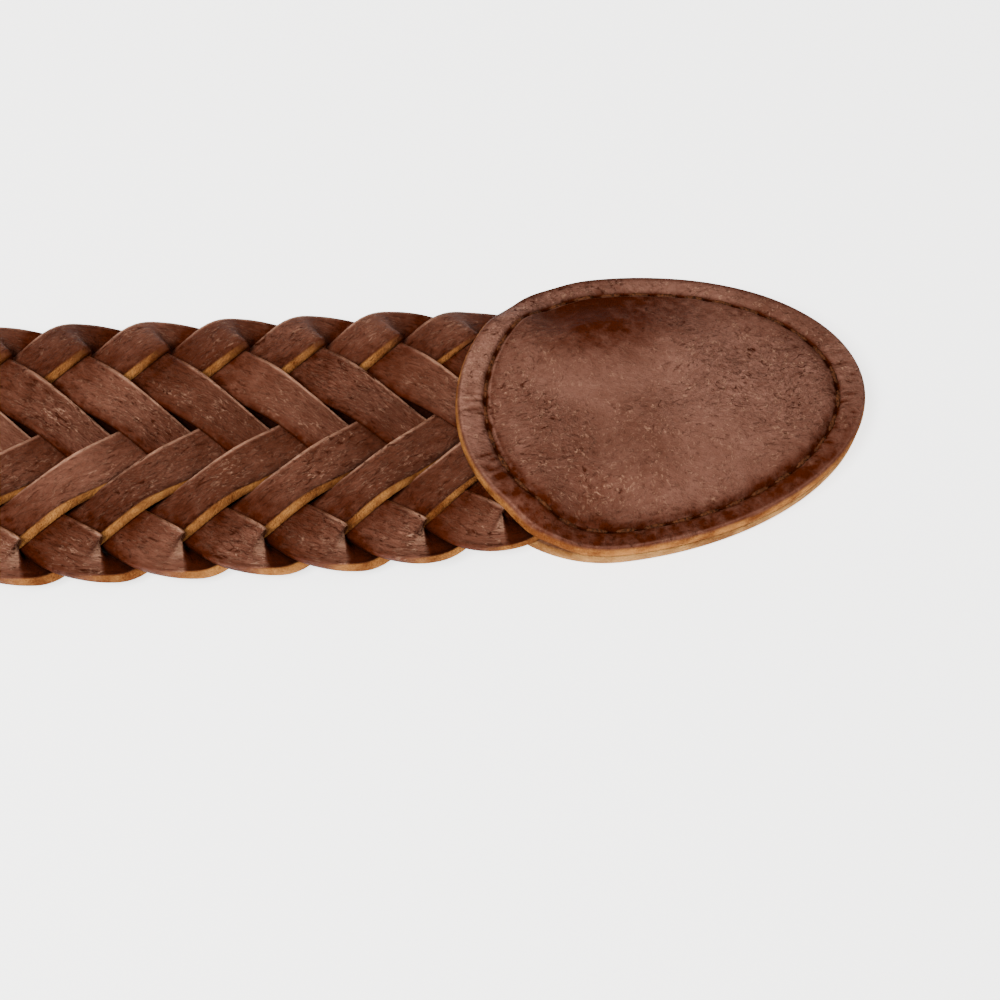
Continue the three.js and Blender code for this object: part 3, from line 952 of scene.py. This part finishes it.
def placeTipBack(vert, turn, ring, layers):
    inset, reach, kind, share = ring
    spot = tipPoint(turn, inset * tip["marginEnd"], inset * tip["marginSide"], reach)
    spot.z = {"under": 0, "side": share * leather["thickness"], "top": leather["thickness"]}[kind]
    vert.co = spot
    vert[layers["cutEdge"]] = 1.0 if kind == "side" else 0.0
    vert[layers["tone"]] = 0.5
    vert[layers["grain"]] = tipLook["plainGrain"]
    vert[layers["alongAcross"]] = Vector((spot.x * 100, spot.y * 100, 1))


ringPiece("tipFront", tipFrontRings(), placeTipFront, "tip_front", tipLeather)
ringPiece("tipBack", tipBackRings(), placeTipBack, "tip_back", backLeather)

thread = {"length": 0.0031, "width": 0.0007, "height": 0.0005, "proud": 0.0002}


def addStitch(bm, spot, direction, up):
    side = up.cross(direction).normalized()
    turned = Matrix((direction, side, up)).transposed().to_4x4()
    size = Matrix.Diagonal((thread["length"] / 2, thread["width"] / 2, thread["height"] / 2, 1))
    bmesh.ops.create_uvsphere(
        bm, u_segments=8, v_segments=6, radius=1, matrix=Matrix.Translation(spot) @ turned @ size,
    )


def turnAtPhase(phase):
    wanted = phase / stitchCount * seamLengths[-1]
    for i in range(seamSteps):
        if seamLengths[i + 1] >= wanted:
            share = (wanted - seamLengths[i]) / (seamLengths[i + 1] - seamLengths[i])
            return mixValue(seamTurns[i], seamTurns[i + 1], share)
    return seamTurns[-1]


def makeTipStitches():
    bm = bmesh.new()
    for number in range(stitchCount):
        ends = []
        for phase in (number + 0.15, number + 0.85):
            spot, height = tipTop(turnAtPhase(phase), 1, 0)[:2]
            spot.z = tipUnderside(spot, 0) + height
            ends.append(spot)
        middle, middleHeight = tipTop(turnAtPhase(number + 0.5), 1, 0)[:2]
        middle.z = tipUnderside(middle, 0) + middleHeight + thread["proud"] - thread["height"] / 4
        direction = (ends[1] - ends[0]).normalized()
        up = Vector((0, 0, 1)) - direction * direction.z
        addStitch(bm, middle, direction, up.normalized())
    return finishPiece("tipStitches", bm, waxedThread, None)


makeTipStitches()
print("tip made")


# Buckle tab

tab = {
    "width": 0.036,
    "leather": 0.002,
    "slotLength": 0.015,
    "slotHalf": 0.0026,
    "stitchEnd": 0.0035,
    "stitchSide": 0.0034,
    "stitchRodSide": 0.009,
    "pitch": 0.004,
    "alongSteps": 110,
    "acrossSteps": 36,
    "edgeRound": 0.00045,
    "sharpAngle": 1.2,
    "sideFacing": 0.85,
    "outsideDark": 0.2,
    "insideDark": 0.7,
    "tone": 0.55,
    "toneSpread": 0.3,
    "tonePerMetre": 45,
    "grain": 0.8,
}

rodRadius = 0.002
rodX = buckleHigh.x - rodRadius
foldHeight = tabHigh.z / 2
foldRadius = foldHeight - tab["leather"]
flatLength = tabEnd - rodX


def tabPath(length):
    # A point of the leather's inner side, by its length from the lower end
    arc = math.pi * foldRadius
    if length < flatLength:
        return Vector((tabEnd - length, 0, foldHeight - foldRadius))
    if length > flatLength + arc:
        past = length - flatLength - arc
        return Vector((rodX + past, 0, foldHeight + foldRadius))
    turn = (length - flatLength) / foldRadius
    outward = Vector((-math.sin(turn), 0, -math.cos(turn)))
    return Vector((rodX, 0, foldHeight)) + outward * foldRadius


def makeTab():
    bm = bmesh.new()
    alongSteps, acrossSteps = tab["alongSteps"], tab["acrossSteps"]
    whole = 2 * flatLength + math.pi * foldRadius
    middle = whole / 2
    bmesh.ops.create_grid(bm, x_segments=alongSteps, y_segments=acrossSteps, size=0.5)
    flat = {vert: ((vert.co.x + 0.5) * whole, vert.co.y * tab["width"]) for vert in bm.verts}
    slotHalfLength = tab["slotLength"] / 2
    cells = []
    for face in bm.faces:
        length = sum(flat[vert][0] for vert in face.verts) / 4
        y = sum(flat[vert][1] for vert in face.verts) / 4
        if abs(length - middle) < slotHalfLength and abs(y) < tab["slotHalf"]:
            cells.append(face)
    for vert in bm.verts:
        length, y = flat[vert]
        vert.co = tabPath(length) + Vector((0, y, 0))
    bmesh.ops.delete(bm, geom=cells, context="FACES")
    made = bmesh.ops.extrude_face_region(bm, geom=bm.faces[:])["geom"]
    for vert in [item for item in made if isinstance(item, bmesh.types.BMVert)]:
        if vert.co.x >= rodX:
            outward = Vector((0, 0, 1 if vert.co.z > foldHeight else -1))
        else:
            outward = Vector((vert.co.x - rodX, 0, vert.co.z - foldHeight)).normalized()
        vert.co += outward * tab["leather"]
    bmesh.ops.recalc_face_normals(bm, faces=bm.faces[:])
    sharp = [edge for edge in bm.edges if edge.is_manifold and edge.calc_face_angle() > tab["sharpAngle"]]
    bmesh.ops.bevel(
        bm, geom=sharp, offset=tab["edgeRound"], segments=3, profile=0.5, affect="EDGES", material=-1,
    )
    layers = pieceLayers(bm)
    for vert in bm.verts:
        outside = abs(vert.co.z - foldHeight) > foldRadius + tab["leather"] / 2
        vert[layers["shadeAndBurnish"]] = tab["outsideDark"] if outside else tab["insideDark"]
        cloud = noise.noise(vert.co * tab["tonePerMetre"])
        vert[layers["tone"]] = tab["tone"] + tab["toneSpread"] * cloud
        vert[layers["grain"]] = tab["grain"]
        vert[layers["alongAcross"]] = Vector((vert.co.x * 100, vert.co.y * 100, 3))
    for face in bm.faces:
        atEnd = face.calc_center_median().x > tabEnd - tab["leather"] / 2
        facesEnd = face.normal.x > tab["sideFacing"] and atEnd
        if facesEnd or abs(face.normal.y) > tab["sideFacing"]:
            for vert in face.verts:
                vert[layers["cutEdge"]] = 1.0
    return finishPiece("buckleTab", bm, strandLeather, "buckle_tab")


def makeTabStitches():
    bm = bmesh.new()
    endX, startX = tabEnd - tab["stitchEnd"], rodX + tab["stitchRodSide"]
    halfY = tab["width"] / 2 - tab["stitchSide"]
    corners = [(startX, halfY), (endX, halfY), (endX, -halfY), (startX, -halfY), (startX, halfY)]
    for (x0, y0), (x1, y1) in zip(corners, corners[1:]):
        first, last = Vector((x0, y0, 0)), Vector((x1, y1, 0))
        count = round((last - first).length / tab["pitch"])
        for number in range(count):
            spot = first.lerp(last, (number + 0.5) / count)
            for side in (1, -1):
                spot.z = foldHeight + side * (foldHeight - thread["height"] / 4)
                addStitch(bm, spot, (last - first).normalized(), Vector((0, 0, side)))
    return finishPiece("tabStitches", bm, waxedThread, None)


makeTab()
makeTabStitches()
print("tab made")


# Buckle

buckle = {
    "bar": 0.0045,
    "corner": 0.009,
    "cornerSteps": 14,
    "sideSteps": 20,
    "profilePoints": 28,
    "squareness": 2.8,
    "tongueHalfWidth": 0.002,
    "tongueHalfHeight": 0.0015,
    "tongueSteps": 48,
    "collarRadius": 0.0029,
    "collarHalfWidth": 0.0021,
    "collarRound": 0.0005,
    "tongueInRod": 0.001,
    "tonguePastBar": 0.0002,
    "tongueSunk": 0.0001,
    "tongueNod": 0.0004,
    "tongueTaper": 0.25,
    "metalView": rgb(168, 142, 92),
    "metalPale": rgb(176, 150, 98),
    "metalDeep": rgb(120, 96, 58),
}


def metalMaterial():
    material, tree, shader = newMaterial("brushedMetal", buckle["metalView"])
    place = tree.nodes.new("ShaderNodeTexCoord").outputs["Object"]
    clouds = noiseValue(tree, place, 160.0, 3.0)
    lines = noiseValue(tree, stretchCoords(tree, place, (0.15, 1.0, 1.0)), 5200.0, 2.0)
    dull = mathNode(tree, "MULTIPLY", clouds, 0.7)
    color = mixColor(tree, dull, buckle["metalPale"], buckle["metalDeep"])
    plug(tree, color, shader["Base Color"])
    shader["Metallic"].default_value = 1.0
    plug(tree, mathNode(tree, "MULTIPLY_ADD", lines, 0.14, 0.24), shader["Roughness"])
    bump = addNode(tree, "ShaderNodeBump", Strength=0.3, Distance=0.00002, Height=lines)
    plug(tree, bump.outputs[0], shader["Normal"])
    return material


def frameStations():
    # Round the buckle: the bar's middle and its outward direction
    bar, corner = buckle["bar"], buckle["corner"] - buckle["bar"] / 2
    x0, x1 = buckleLow.x + bar / 2, rodX
    y1 = buckleHigh.y - bar / 2
    centres = [(x1 - corner, y1 - corner, 0), (x0 + corner, y1 - corner, 1),
               (x0 + corner, corner - y1, 2), (x1 - corner, corner - y1, 3)]
    stations = []
    for number, (cx, cy, quarter) in enumerate(centres):
        for step in range(buckle["cornerSteps"] + 1):
            turn = (quarter + step / buckle["cornerSteps"]) * math.pi / 2
            outward = Vector((math.cos(turn), math.sin(turn), 0))
            stations.append((Vector((cx, cy, foldHeight)) + outward * corner, outward))
        last, outward = stations[-1]
        nx, ny, _ = centres[(number + 1) % 4]
        following = Vector((nx, ny, foldHeight)) + outward * corner
        for step in range(1, buckle["sideSteps"]):
            stations.append((last.lerp(following, step / buckle["sideSteps"]), outward))
    return stations


def roundedProfile(share):
    # A point of a rounded bar's cross-section, from -1 to 1 both ways
    turn = 2 * math.pi * share
    power = 2 / buckle["squareness"]
    c, d = math.cos(turn), math.sin(turn)
    return math.copysign(abs(c) ** power, c), math.copysign(abs(d) ** power, d)


def sweptRing(bm, stations, placeVert, closed):
    # A grid rolled into a tube along the stations
    columns, rows = len(stations) - (0 if closed else 1), buckle["profilePoints"]
    made = bmesh.ops.create_grid(bm, x_segments=columns, y_segments=rows, size=0.5)["verts"]
    for vert in made:
        column = round((vert.co.x + 0.5) * columns) % len(stations)
        row = round((vert.co.y + 0.5) * rows) % rows
        vert.co = placeVert(stations[column], *roundedProfile(row / rows))
    return made


def placeFrame(station, side, up):
    spot, outward = station
    halfWidth = mixValue(buckle["bar"] / 2, rodRadius, smoothShare(0.3, 0.9, outward.x))
    return spot + outward * (side * halfWidth) + Vector((0, 0, up * rodRadius))


def tongueStations():
    # From the rod, up on to the far bar of the frame, with the tongue's size there
    start, end = rodX + buckle["tongueInRod"], buckleLow.x + buckle["tonguePastBar"]
    restHeight = foldHeight + rodRadius + buckle["tongueHalfHeight"] - buckle["tongueSunk"]
    stations = []
    for step in range(buckle["tongueSteps"] + 1):
        share = step / buckle["tongueSteps"]
        x = mixValue(start, end, share)
        z = mixValue(foldHeight, restHeight, smoothShare(0, 0.62, share))
        z -= buckle["tongueNod"] * smoothShare(0.92, 1.0, share)
        size = 1 - buckle["tongueTaper"] * smoothShare(0.2, 0.95, share)
        size *= math.sqrt(max(0.02, 1 - max(0, (share - 0.965) / 0.035) ** 2))
        stations.append((Vector((x, 0, z)), size))
    return stations


def placeTongue(station, side, up):
    spot, size = station
    return spot + Vector((
        0, side * buckle["tongueHalfWidth"] * size, up * buckle["tongueHalfHeight"] * size,
    ))


def makeBuckle():
    bm = bmesh.new()
    sweptRing(bm, frameStations(), placeFrame, True)
    sweptRing(bm, tongueStations(), placeTongue, False)
    bmesh.ops.remove_doubles(bm, verts=bm.verts[:], dist=1e-7)
    bmesh.ops.holes_fill(bm, edges=[edge for edge in bm.edges if edge.is_boundary], sides=0)
    sideways = Matrix.Rotation(math.pi / 2, 4, "X")
    collar = bmesh.ops.create_cone(
        bm, cap_ends=True, segments=40, radius1=buckle["collarRadius"], radius2=buckle["collarRadius"],
        depth=2 * buckle["collarHalfWidth"],
        matrix=Matrix.Translation((rodX, 0, foldHeight)) @ sideways,
    )["verts"]
    rims = [edge for edge in {edge for vert in collar for edge in vert.link_edges}
            if len({round(vert.co.y, 5) for vert in edge.verts}) == 1]
    bmesh.ops.bevel(
        bm, geom=rims, offset=buckle["collarRound"], segments=3, profile=0.5, affect="EDGES", material=-1,
    )
    bmesh.ops.recalc_face_normals(bm, faces=bm.faces[:])
    return finishPiece("buckleFrame", bm, metalMaterial(), "buckle")


makeBuckle()
print("buckle made")


# Studio

studio = {
    "floorSize": 3.0,
    "floorColor": rgb(250, 249, 247),
    "floorGlow": 2.7,
    "worldStrength": 0.42,
    "keyPower": 6.0,
    "keySize": 0.22,
    "keyPlace": Vector((0.14, -0.2, 0.48)),
    "fillPower": 1.6,
    "fillSize": 0.7,
    "fillPlace": Vector((0.6, 0.1, 0.65)),
    "aim": Vector((0.40, 0, 0)),
    "floorDrop": 0.0002,
}


def addLight(name, place, size, power):
    light = bpy.data.lights.new(name, "AREA")
    light.size = size
    light.energy = power
    lamp = bpy.data.objects.new(name, light)
    lamp.location = place
    lamp.rotation_mode = "QUATERNION"
    lamp.rotation_quaternion = (studio["aim"] - place).to_track_quat("-Z", "Y")
    bpy.context.scene.collection.objects.link(lamp)


def makeStudio():
    bm = bmesh.new()
    bmesh.ops.create_grid(bm, x_segments=1, y_segments=1, size=studio["floorSize"])
    mesh = bpy.data.meshes.new("floor")
    bm.to_mesh(mesh)
    bm.free()
    material, tree, shader = newMaterial("paleFloor", studio["floorColor"])
    shader["Base Color"].default_value = studio["floorColor"]
    shader["Roughness"].default_value = 0.9
    shader["Emission Color"].default_value = studio["floorColor"]
    shader["Emission Strength"].default_value = studio["floorGlow"]
    mesh.materials.append(material)
    floor = bpy.data.objects.new("floor", mesh)
    floor.location.z = -studio["floorDrop"]
    bpy.context.scene.collection.objects.link(floor)
    world = bpy.data.worlds.new("softWhite")
    world.use_nodes = True
    world.node_tree.nodes["Background"].inputs["Color"].default_value = (1, 1, 1, 1)
    world.node_tree.nodes["Background"].inputs["Strength"].default_value = studio["worldStrength"]
    bpy.context.scene.world = world
    addLight("keyLight", studio["keyPlace"], studio["keySize"], studio["keyPower"])
    addLight("fillLight", studio["fillPlace"], studio["fillSize"], studio["fillPower"])


makeStudio()
placeCamera()
bpy.context.view_layer.update()
